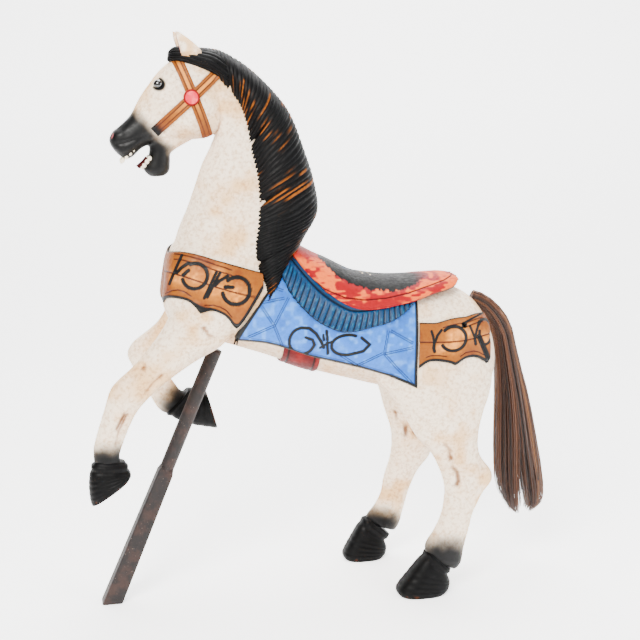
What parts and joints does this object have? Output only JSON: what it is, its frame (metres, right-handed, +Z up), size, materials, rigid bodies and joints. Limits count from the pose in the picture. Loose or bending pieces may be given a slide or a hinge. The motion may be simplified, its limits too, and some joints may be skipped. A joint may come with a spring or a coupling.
{
  "type": "carousel horse",
  "caption": "Rearing carousel horse of carved, painted wood with saddle, blanket and horsehair tail, held up by a slanted iron rod.",
  "frame": {"origin": "on the floor under the middle of the whole part", "axes": "+Z up, the horse faces -X and its left side faces -Y"},
  "size_m": [0.9659, 0.2647, 1.125],
  "materials": {
    "cream_paint": "satin",
    "black_paint": "satin",
    "ochre_paint": "satin",
    "blue_paint": "satin",
    "teal_paint": "satin",
    "red_paint": "satin",
    "horsehair": "matte",
    "rusted_iron": "matte"
  },
  "bodies": {
    "root": {"horse": "cream_paint", "tail": "horsehair", "support_rod": "rusted_iron"}
  },
  "joints": []
}
